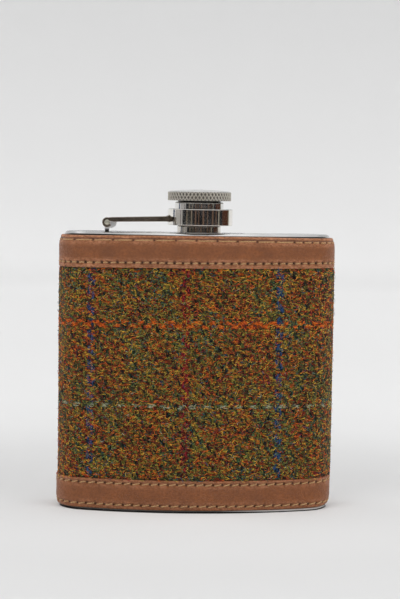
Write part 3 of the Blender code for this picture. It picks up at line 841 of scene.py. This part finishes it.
def build_stitches(line, row, marks, slant, arch=0.0, inset=0.24 * MM):
    """Separate twisted stitches from hole to hole along a row, each tilted or arched a little."""
    joints, sides = 17, 12
    start, end = marks[:-1], marks[1:]
    length = end - start
    t = np.linspace(0, 1, joints)
    u = start[:, None] + inset + (length - 2 * inset)[:, None] * t
    tilt = slant * np.minimum(length, 3.4 * MM)
    z = row + tilt[:, None] * (t - 0.5) + arch * (4 * t * (1 - t) - 0.6)
    bow = np.sin(math.pi * t) ** 0.35
    rise = -lean(u, z) - FURROW - 0.33 * MM + (0.33 * MM + 0.55 * THREAD_R + 0.07 * MM) * bow
    angle = np.arange(sides) * TAU / sides
    lay = angle[None, None, :] * 3 - (u * TAU / (0.95 * MM))[..., None]
    radius = THREAD_R * (0.86 + 0.14 * np.cos(lay)) * (0.55 + 0.45 * bow)[None, :, None]
    x, y = wrap(u[..., None], rise[..., None] + radius * np.sin(angle))
    points = np.stack([x, y, (z + settle(u, z))[..., None] + radius * np.cos(angle)], -1).reshape(-1, 3)
    faces = []
    for stitch in range(len(start)):
        faces += tube_faces(joints, sides, stitch * joints * sides)
    stitches = mesh_object(line + "_stitches", points, faces)
    # painted shade: dark where the twist dips between the plies
    set_attribute(stitches, "ply_groove_shade", np.clip(0.5 + 0.6 * np.cos(lay), 0, 1).ravel())
    dress(stitches, THREAD_LOOK, "flask", "thread", line + "_stitching")


def build_wrap():
    top_holes = (needle_holes(2.75 * MM, 31), needle_holes(7.0 * MM, 32, 0.2, 29 * MM, 3.2 * MM))
    foot_holes = (needle_holes(3.2 * MM, 33), needle_holes(3.1 * MM, 34, 0.7))
    build_band("top_band_leather", "top_leather_band", *TOP_BAND, TOP_ROWS, top_holes)
    build_band("bottom_band_leather", "bottom_leather_band", *FOOT_BAND, FOOT_ROWS, foot_holes, 0.55)
    build_stitches("top_band_lower", TOP_ROWS[0], top_holes[0], 0.04, 0.15 * MM, 0.4 * MM)
    build_stitches("top_band_upper", TOP_ROWS[1], top_holes[1], 0.03, inset=0.34 * MM)
    build_stitches("bottom_band_lower", FOOT_ROWS[0], foot_holes[0], 0.17)
    build_stitches("bottom_band_upper", FOOT_ROWS[1], foot_holes[1], 0.20)


# ---------------------------------------------------------------- steel bottle

def plate_mesh(name, levels, hole_r=None, pinch=0.0):
    """A plate of the flask's outline from (offset, z) levels, lowest first, with a hole for the neck.

    pinch draws it in at the two ends.
    """
    us = round_stations(1.0 * MM)[:-1]
    rings = []
    for offset, z in levels:
        x, y = wrap(us, offset - pinch * at_ends(us))
        rings.append(np.stack([x, y, np.full(len(us), z)], -1))
    if hole_r is None:
        plate = mesh_object(name, np.concatenate(rings), tube_faces(len(rings), len(us)))
        return sharpen(plate, 50)
    bearing = np.arctan2(rings[0][:, 1] - NECK_Y, rings[0][:, 0])
    for ring, share in ((rings[-1], 0.5), (rings[-1], 0.0), (rings[0], 0.0), (rings[0], 0.5)):
        hole = np.stack([hole_r * np.cos(bearing), NECK_Y + hole_r * np.sin(bearing), ring[:, 2]], -1)
        rings.append(hole * (1 - share) + ring * share)
    plate = mesh_object(name, np.concatenate(rings), grid_faces(len(rings), len(us), True, True))
    return sharpen(plate, 50)


def build_shoulder():
    offset, low, steepest, neck_hole = -(WIDTH / 2 - PLATE_HIGH.x), PLATE_LOW.z, math.radians(25), 7.5 * MM
    edge = (SHOULDER_Z - 0.05 * MM - low) / (1 - math.sin(steepest))
    curve = [(offset + edge * (math.cos(a) - math.cos(steepest)), SHOULDER_Z - edge + edge * math.sin(a))
             for a in np.linspace(steepest, math.pi / 2, 12)]
    plate = plate_mesh("shoulder", [(offset, low)] + curve, neck_hole)
    # painted reflection: how much of the tint the shoulder keeps along X, lighter and darker as its rim's
    # reflection was
    reflection_stops = [(-43, 0.70), (-41, 0.98), (-38, 0.62), (-29, 0.58), (-20, 0.80), (-11, 1.0), (15, 1.0),
               (21, 0.84), (30, 0.80), (40, 0.66)]
    along = [(x * MM, share) for x, share in reflection_stops]
    look = steel("shoulder_steel", 0.11, (0.93, 0.925, 0.91), along=along)
    dress(plate, look, "flask", "polished_steel", "shoulder_plate")


def build_base():
    foot, lip, boss = -0.75 * MM, -0.72 * MM, -2.2 * MM
    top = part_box("base_plate")[1].z
    section = [(foot - 0.4 * MM, 0), (-0.15 * MM, 0), (foot, 0.3 * MM), (foot, 0.45 * MM),
               (lip, 0.54 * MM), (lip, 0.77 * MM), (boss, 0.77 * MM), (boss, top)]
    plate = plate_mesh("base", rounded(section, 0.1 * MM), pinch=0.9 * MM)
    dress(plate, base_steel(), "flask", "polished_steel", "base_plate")


# ---------------------------------------------------------------- neck and cap

LEAD = 1.25 * MM
KNURL_Z = (SHOULDER_Z + 10.92 * MM, SHOULDER_Z + 13.85 * MM)
KNURL_STARTS = 52
KNURL_RISE = 2.15 * MM                               # the height of one diamond


def thread_ridge(root, height, low, high):
    """A right-hand screw ridge between two heights that runs out at both ends."""
    def ridge(radius, z, angle):
        wave = 0.5 + 0.5 * np.cos(TAU * z / LEAD - angle)
        fade = np.clip(np.minimum(z - low, high - z) / (0.3 * MM), 0, 1)
        return radius + np.where(np.abs(radius - root) < 1e-6, height * fade * wave ** 1.5, 0.0)
    return ridge


def above(*points):
    """(radius, height above the shoulder) points in millimetres, as (radius, z) in metres."""
    return [(radius * MM, SHOULDER_Z + height * MM) for radius, height in points]


def build_neck():
    bore, flange, pipe, root = 5.6, 8.0, 7.4, 6.4
    under, step, top, bevel = -1.1, 2.5, 5.85, 0.3
    outline = rounded(above((bore, under - 0.6), (flange, under - 0.6), (flange, under), (pipe, under),
                            (pipe, step - bevel), (pipe - bevel, step), (root, step)), 0.12 * MM)
    outline += above(*((root, height) for height in np.linspace(step + 0.05, top - bevel, 34)))
    outline += rounded(above((root, top - bevel + 0.01), (root - bevel, top), (bore, top), (bore, top - 1)),
                       0.1 * MM)
    ridge = thread_ridge(root * MM, 0.5 * MM, SHOULDER_Z + step * MM, SHOULDER_Z + (top - bevel) * MM)
    neck = lathe("threaded_neck", outline, (0, NECK_Y), ridge=ridge)
    dress(sharpen(neck), steel("neck_steel", 0.09, (0.68, 0.64, 0.58)), "flask", "polished_steel", "neck")


def build_weld():
    """The uneven bead that joins the neck to the shoulder."""
    middle = (7.68 * MM, SHOULDER_Z + 0.02 * MM)
    bead = [(middle[0] + 0.22 * MM * math.cos(a), middle[1] + 0.16 * MM * math.sin(a))
            for a in np.linspace(0, TAU, 12)[:-1]]
    weld = lathe("neck_braze", bead, (0, NECK_Y),
                 ridge=lambda r, z, a: r + 0.05 * MM * (noise(a * 9, 0 * a, 21) - 0.5))
    dress(weld, steel("braze_steel", 0.25), "flask", "polished_steel")


def knurl_ridges(z, angle):
    """How far up the crossing ridges of the rim each point is, 0 to 1; one set of ridges is cut fainter."""
    turn, climb = angle * KNURL_STARTS / TAU, (z - KNURL_Z[0]) / KNURL_RISE
    a, b = (turn + climb) % 1, (turn - climb) % 1
    faint = 0.66 + 0.34 * noise(2.5 * angle + 9, 0 * angle, 22)
    ridge = np.maximum(1 - np.abs(2 * a - 1), faint * (1 - np.abs(2 * b - 1))) ** 1.9
    plain = np.clip(1 - (z - KNURL_Z[0]) / (0.25 * MM), 0, 1)
    return np.maximum(ridge, plain)


def knurl(radius, z, angle):
    """The rim of the cap cut down between its ridges."""
    rim = (radius > CAP_HIGH.x - 0.05 * MM) & (z > KNURL_Z[0])
    return np.where(rim, radius - 0.42 * MM * (1 - knurl_ridges(z, angle)), radius)


def build_cap():
    rim, top = CAP_HIGH.x / MM, (CAP_HIGH.z - SHOULDER_Z) / MM
    stem, waist, groove, root = 8.3, 7.3, 7.95, 7.45
    dish, drop = 9.9, 0.5
    dome = above((0.02, top), *((r, top - drop * (r / dish) ** 2) for r in np.linspace(0.8, dish, 14)))
    edge = rounded(above((dish, top - drop), (rim - 0.25, 13.95), (rim, 13.7)), 0.15 * MM)
    side = above(*((rim, height) for height in np.linspace(13.7, 11.1, 40)))
    below = rounded(above((rim, 11.1), (rim - 0.3, 10.92), (waist, 10.92), (waist, 10.5),
                          (stem - 0.35, 10.46), (stem, 10.1), (stem, 4.55), (groove, 4.55), (groove, 3.15),
                          (stem, 3.15), (stem, 2.75), (root, 2.75)), 0.14 * MM)
    bore = above(*((root, height) for height in np.linspace(2.85, 6.0, 26)))
    inner = above((7.15, 6.1), (7.15, 7.45), (0.02, 7.45))
    screw = thread_ridge(root * MM, -0.3 * MM, SHOULDER_Z + 2.8 * MM, SHOULDER_Z + 6.0 * MM)
    outline = dome + edge[1:] + side[1:] + below[1:] + bore + inner
    cap = lathe("screw_cap", outline, (0, NECK_Y), KNURL_STARTS * 13,
                lambda r, z, a: screw(knurl(r, z, a), z, a), closed=False)
    points = np.empty(len(cap.data.vertices) * 3, np.float32)
    cap.data.vertices.foreach_get("co", points)
    x, y, z = points.reshape(-1, 3).T
    # painted shade for the hollows between the knurl's ridges, for the cap's material
    on_rim = (np.hypot(x, y - NECK_Y) > CAP_HIGH.x - 0.6 * MM) & (z > KNURL_Z[0]) & (z < KNURL_Z[1])
    set_attribute(cap, "knurl_hollow_shade", on_rim * (1 - knurl_ridges(z, np.arctan2(y - NECK_Y, x))))
    dress(sharpen(cap, 30), cap_steel(), "cap", "polished_steel", "knurled_cap")


def build_collar():
    outer, wall, hole = COLLAR_R, 0.55 * MM, 9.0 * MM
    low, high = COLLAR_LOW.z, COLLAR_HIGH.z
    section = [(outer - wall, low), (outer - 0.12 * MM, low), (outer, low + 0.12 * MM),
               (outer, high - 0.16 * MM), (outer - 0.16 * MM, high), (hole, high), (hole, high - wall),
               (outer - wall, high - wall), (outer - wall, low)]
    collar = lathe("collar", rounded(section, 0.06 * MM)[:-1], (COLLAR_X, NECK_Y))
    look = steel("collar_steel", 0.07, (0.90, 0.87, 0.82))
    dress(sharpen(collar), look, "arm", "polished_steel", "cap_collar")


# ---------------------------------------------------------------- hinge

def strip_between(upper, lower, ys, gap, gap_end):
    """A bent strip from matching upper and lower (x, z) points, whose end fits round the collar.

    ys are the stations across it.  It has a slot where |y| < gap up to the point numbered gap_end:
    the cells inside the slot are left out and their walls closed.
    """
    stations, across = len(upper), len(ys)
    collar_side = COLLAR_X - COLLAR_R
    points = np.zeros((stations, across, 2, 3))
    for k in range(stations):
        for j, y in enumerate(ys):
            edge = COLLAR_X - math.sqrt(COLLAR_R ** 2 - y ** 2) + 0.15 * MM
            for side, (x, z) in enumerate((upper[k], lower[k])):
                pull = max(0.0, min(1.0, (x - (collar_side - 2 * MM)) / (2 * MM)))
                points[k, j, side] = (x + (edge - collar_side) * pull, NECK_Y + y, z)
    index = np.arange(stations * across * 2).reshape(stations, across, 2)

    def solid(k, j):
        if not (0 <= k < stations - 1 and 0 <= j < across - 1):
            return False
        middle = (ys[j] + ys[j + 1]) / 2
        return not (abs(middle) < gap and k < gap_end)

    faces = []
    for k in range(stations - 1):
        for j in range(across - 1):
            if not solid(k, j):
                continue
            a, b, c, d = index[k, j], index[k + 1, j], index[k + 1, j + 1], index[k, j + 1]
            faces.append([a[0], b[0], c[0], d[0]])
            faces.append([a[1], d[1], c[1], b[1]])
            for empty, p, q in ((not solid(k, j - 1), a, b), (not solid(k, j + 1), c, d),
                                (not solid(k - 1, j), d, a), (not solid(k + 1, j), b, c)):
                if empty:
                    faces.append([p[0], p[1], q[1], q[0]])
    return points.reshape(-1, 3), faces


def build_arm():
    """The cap arm: two knuckles curled round the pin, and a flat strip that rises to the collar."""
    pin_r, sheet = 0.75 * MM, 0.9 * MM
    end, bend = ARM_HIGH.x - PIN_X, 22
    start, slot_end, flare, slot_half = 2.2 * MM, 3.9 * MM, 1.5 * MM, 1.2 * MM
    curl = arc((0, 0), pin_r + sheet, 325, 78, bend)
    bore = arc((0, 0), pin_r, 325, 50, bend)
    upper, lower = [], []
    for x in (start, *np.linspace(slot_end, end - flare, 10), *np.linspace(end - 0.8 * flare, end, 6)):
        share = (x - start) / (end - start)
        run = max(0.0, (x - end + flare) / flare)
        upper.append((x, (1.76 + 0.58 * share + 0.75 * run ** 2) * MM))
        lower.append((x, (0.22 + 0.36 * share - 0.25 * run ** 2) * MM))
    upper = [(PIN_X + x, PIN_Z + z) for x, z in curl + upper]
    lower = [(PIN_X + x, PIN_Z + z) for x, z in bore + lower]
    ys = [y * MM for y in (-3.1, -2.6, -1.9, -1.2, 0.0, 1.2, 1.9, 2.6, 3.1)]
    points, faces = strip_between(upper, lower, ys, slot_half, bend + 2)
    used, corners = np.unique(faces, return_inverse=True)
    arm = outward(mesh_object("cap_arm", points[used], corners.reshape(-1, 4)))
    look = steel("arm_steel", 0.12, (0.36, 0.30, 0.24))
    dress(sharpen(bevelled(arm, 0.18 * MM)), look, "arm", "polished_steel", "hinge_arm")


def extruded(name, outline, y_low, y_high):
    """An (x, z) outline given its width along Y."""
    count = len(outline)
    points = [(x, y, z) for y in (y_low, y_high) for x, z in outline]
    faces = [np.arange(count), np.arange(count)[::-1] + count]
    faces += [np.array([i, (i + 1) % count, (i + 1) % count + count, i + count]) for i in range(count)]
    return outward(mesh_object(name, np.array(points), faces))


def build_lug():
    half = (LUG_HIGH.y - LUG_LOW.y) / 2
    foot = SHOULDER_Z - 0.05 * MM
    outline = [(PIN_X - 0.85 * MM, foot), (PIN_X + 0.85 * MM, foot), (PIN_X + 0.65 * MM, foot + 0.3 * MM)]
    outline += arc((PIN_X + 1.5 * MM, PIN_Z - 0.1 * MM), 1.75 * MM, -108, 95, 32)
    outline += arc((PIN_X, PIN_Z), 1.25 * MM, 110, 215, 14)
    outline.append((PIN_X - 0.65 * MM, foot + 0.3 * MM))
    lug = bevelled(extruded("hinge_lug", outline, NECK_Y - half, NECK_Y + half), 0.3 * MM, 4)
    # painted shade: dark just above the shoulder, where the lug meets it
    look = steel("lug_steel", 0.22, (0.94, 0.94, 0.94), shaded_below=SHOULDER_Z + 0.8 * MM)
    dress(sharpen(lug), look, "flask", "polished_steel", "hinge_bracket")


def build_pin():
    """The rivet, with a domed head at each end."""
    half, head = (PIN_HIGH.y - PIN_LOW.y) / 2, 0.95 * MM
    end = [(0.01 * MM, 0), (0.55 * head, 0.02 * MM), (0.9 * head, 0.12 * MM), (head, 0.26 * MM),
           (0.65 * MM, 0.3 * MM)]
    profile = [(r, depth - half) for r, depth in end] + [(r, half - depth) for r, depth in end[::-1]]
    pin = lathe("rivet_pin", profile, (0, 0), 40, closed=False)
    pin.data.transform(Matrix.Translation((PIN_X, NECK_Y, PIN_Z)) @ Matrix.Rotation(math.pi / 2, 4, "X"))
    dress(sharpen(pin), steel("pin_steel", 0.2, (0.60, 0.58, 0.48)), "flask", "polished_steel", "hinge_pin")


def dress_hidden_nodes():
    """CAD nodes that keep their own shape inside the flask and the cap."""
    inner = steel("sheet_steel", 0.4, (0.10, 0.095, 0.09))
    for name, look in (("front_shell", inner), ("back_shell", inner), ("cap_retaining_ring", inner),
                       ("cap_gasket", rubber_material())):
        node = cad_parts[name]
        node.data.materials.clear()
        node.data.materials.append(look)


# ---------------------------------------------------------------- studio

CARD_HIGH, CARD_R = 0.36, 1.1
# how far from the flask along the paper, and how light the paper is painted there, as painted light and
# shade
PAPER_LIGHT_AND_SHADE = [(0.0, 0.87), (0.03, 0.78), (0.05, 0.735), (0.10, 0.67), (0.14, 0.67), (0.21, 0.735), (0.31, 0.77),
         (0.62, 0.81), (0.9, 0.87), (1.3, 0.95), (1.7, 0.935), (2.0, 0.857), (2.3, 0.80), (2.85, 0.715),
         (3.0, 0.70)]


def sweep_paper():
    """Paper painted with light and shade: darkest a hand's width away as painted shadow, lightest well
    behind the flask as painted light, and greyer higher up as painted shade.
    """
    look = Look("sweep_paper", Roughness=0.9, Specular_IOR_Level=0.1)
    x, y, z = look.place()
    flat = look.add("CombineXYZ", {0: x, 1: y}).outputs[0]
    away = look.add("VectorMath", {0: flat}, operation="LENGTH").outputs["Value"]
    away = look.calc("MULTIPLY_ADD", z, 2.0, away)
    far = PAPER_LIGHT_AND_SHADE[-1][0]
    painted_greys = [(distance / far, (grey, grey, grey)) for distance, grey in PAPER_LIGHT_AND_SHADE]
    look.feed("Base Color", look.ramp(look.span(away, 0.0, far), painted_greys))
    return look.material


def build_sweep():
    """A pale round floor that curves up into a wall."""
    floor_r, wall_r, top = 1.5, 2.1, 2.6
    curve = wall_r - floor_r
    outline = [(0.001, 0.0), (0.25, 0.0), (0.7, 0.0)]
    outline += [(floor_r + curve * math.sin(a), curve * (1 - math.cos(a)))
                for a in np.linspace(0, math.pi / 2, 16)]
    outline.append((wall_r, top))
    steps = 96
    faces = grid_faces(len(outline), steps, False, True)
    sweep = mesh_object("studio_sweep", turned(outline, (0, 0), steps), faces)
    sweep.data.materials.append(sweep_paper())


def reflection_card(name, start, end, colour, high=CARD_HIGH, radius=CARD_R):
    """A low curved card seen only in reflections, between bearings in degrees from the flask's front."""
    steps = 12
    angles = [math.radians(start + (end - start) * i / steps) for i in range(steps + 1)]
    points = [(radius * math.sin(a), -radius * math.cos(a), z) for z in (0.0, high) for a in angles]
    card = mesh_object(name, np.array(points), grid_faces(2, steps + 1))
    look = Look(name + "_paper", Base_Color=rgba(colour), Roughness=0.9, Specular_IOR_Level=0.1)
    card.data.materials.append(look.material)
    for ray in ("camera", "diffuse", "shadow", "transmission", "volume_scatter"):
        setattr(card, "visible_" + ray, False)


def build_cards():
    """Dark and coloured strips round the flask, which give the polished steel its streaks."""
    dark, grey = (0.012, 0.012, 0.014), (0.32, 0.31, 0.30)
    strips = (("dark_left", -70, -53, dark), ("gap_left", -53, -51, (0.30, 0.24, 0.17)),
              ("dark_mid_left", -51, -36, (0.03, 0.028, 0.026)),
              ("gap_mid_left", -36, -33.5, (0.24, 0.19, 0.13)),
              ("dark_front", -33.5, 63.5, dark), ("gap_right", 63.5, 67, (0.34, 0.31, 0.24)),
              ("dark_right", 67, 81, dark), ("brown_right", 81, 113, (0.055, 0.022, 0.013)),
              ("olive_right", 113, 119, (0.20, 0.18, 0.13)), ("grey_left", -104, -79, grey),
              ("line_left", -79, -76.5, (0.06, 0.05, 0.05)), ("grey_near_left", -76.5, -70, grey),
              ("blue_left", -116, -107, (0.05, 0.07, 0.12)))
    for name, start, end, colour in strips:
        reflection_card("card_" + name, start, end, colour)
    reflection_card("card_grey_back", 174, 186, (0.10, 0.10, 0.11), high=0.15)
    streaks = ((-20, 2.0), (-9, 1.2), (7, 2.4), (22, 1.2), (41, 2.5), (54, 1.5))
    for number, (bearing, half) in enumerate(streaks):
        reflection_card(f"card_streak_{number}", bearing - half, bearing + half, (0.13, 0.075, 0.045),
                        radius=0.95 * CARD_R)


def soft_light(name, place, size, watts):
    """A square light that shines on the flask and isn't seen itself."""
    light = bpy.data.lights.new(name, "AREA")
    light.shape = "RECTANGLE"
    light.size = light.size_y = size
    light.energy = watts
    obj = bpy.data.objects.new(name, light)
    bpy.context.scene.collection.objects.link(obj)
    obj.location = place
    obj.rotation_mode = "QUATERNION"
    obj.rotation_quaternion = (Vector((0, 0, 0.06)) - Vector(place)).to_track_quat("-Z", "Y")
    obj.visible_camera = False
    obj.visible_glossy = False


def build_lights():
    scene = bpy.context.scene
    world = bpy.data.worlds.new("studio_air")
    world.use_nodes = True
    world.node_tree.nodes["Background"].inputs["Color"].default_value = (1, 1, 1, 1)
    world.node_tree.nodes["Background"].inputs["Strength"].default_value = 0.86
    scene.world = world
    soft_light("key_light", (-0.95, -1.15, 1.45), 1.2, 10.5)
    soft_light("fill_light", (1.25, -1.0, 0.9), 1.2, 10.0)
    soft_light("left_light", (-1.4, 0.15, 0.5), 0.8, 6.0)
    soft_light("right_light", (1.4, 0.15, 0.5), 0.8, 6.0)
    scene.view_settings.view_transform = "Standard"


def build_camera():
    """Slightly above the shoulder, a little to the left, with the picture turned by a degree."""
    bearing, pitch, roll = math.radians(-3.72), math.radians(3.61), math.radians(0.99)
    distance, height, side = 0.5791, 0.1082, 0.00097
    ahead = Vector((-math.sin(bearing) * math.cos(pitch), math.cos(bearing) * math.cos(pitch),
                    -math.sin(pitch)))
    right = Vector((math.cos(bearing), math.sin(bearing), 0))
    up = right.cross(ahead)
    across = right * math.cos(roll) + up * math.sin(roll)
    upward = up * math.cos(roll) - right * math.sin(roll)
    camera = bpy.data.cameras.new("camera")
    camera.sensor_fit = "AUTO"
    camera.sensor_width = 36
    camera.lens = 101.55
    camera.clip_start, camera.clip_end = 0.01, 20
    obj = bpy.data.objects.new("camera", camera)
    bpy.context.scene.collection.objects.link(obj)
    obj.location = (side * math.cos(bearing) + distance * math.sin(bearing),
                    side * math.sin(bearing) - distance * math.cos(bearing), height)
    obj.rotation_mode = "QUATERNION"
    obj.rotation_quaternion = Matrix((across, upward, -ahead)).transposed().to_quaternion()
    bpy.context.scene.camera = obj


LEATHER_LOOK = leather_material()
THREAD_LOOK = thread_material()

build_camera()
dress_hidden_nodes()
build_shoulder()
build_base()
build_neck()
build_weld()
build_cap()
build_collar()
build_arm()
build_lug()
build_pin()
build_wrap()
cloth = build_tweed()
hairs = build_fibres()
build_sweep()
build_cards()
build_lights()
